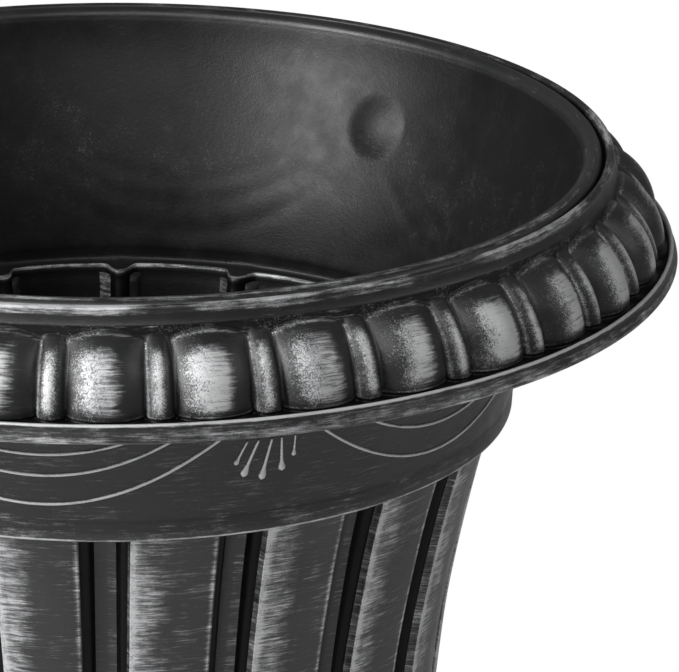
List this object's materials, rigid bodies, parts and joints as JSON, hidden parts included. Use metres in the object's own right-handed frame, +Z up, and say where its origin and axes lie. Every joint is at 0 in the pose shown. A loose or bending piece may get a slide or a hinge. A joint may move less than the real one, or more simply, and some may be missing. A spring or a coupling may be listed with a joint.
{
  "type": "urn planter",
  "caption": "Classical garden urn planter: a fluted bell-shaped bowl with an egg-and-dart rim on a square-based pedestal foot, with a drain plug.",
  "frame": {"origin": "on the ground under the middle of the square foot", "axes": "+Z up along the urn's axis; +X and +Y square to the foot's sides, +X through the middle of a dart and of a flute"},
  "size_m": [0.4052, 0.4052, 0.4799],
  "materials": {
    "bowl": "satin, brushed with silver on the relief",
    "foot": "satin, brushed with silver on the relief",
    "screws": "zinc plated",
    "plug": "matt"
  },
  "bodies": {
    "urn": {"urn_bowl": "bowl", "pedestal_foot": "foot", "foot_screws": "screws"},
    "drain_plug": {"drain_plug": "plug"}
  },
  "joints": [
    {"name": "plug_lift", "type": "slide", "parent": "urn", "child": "drain_plug", "axis": [0, 0, 1], "range_m": [0, 0.05]}
  ]
}
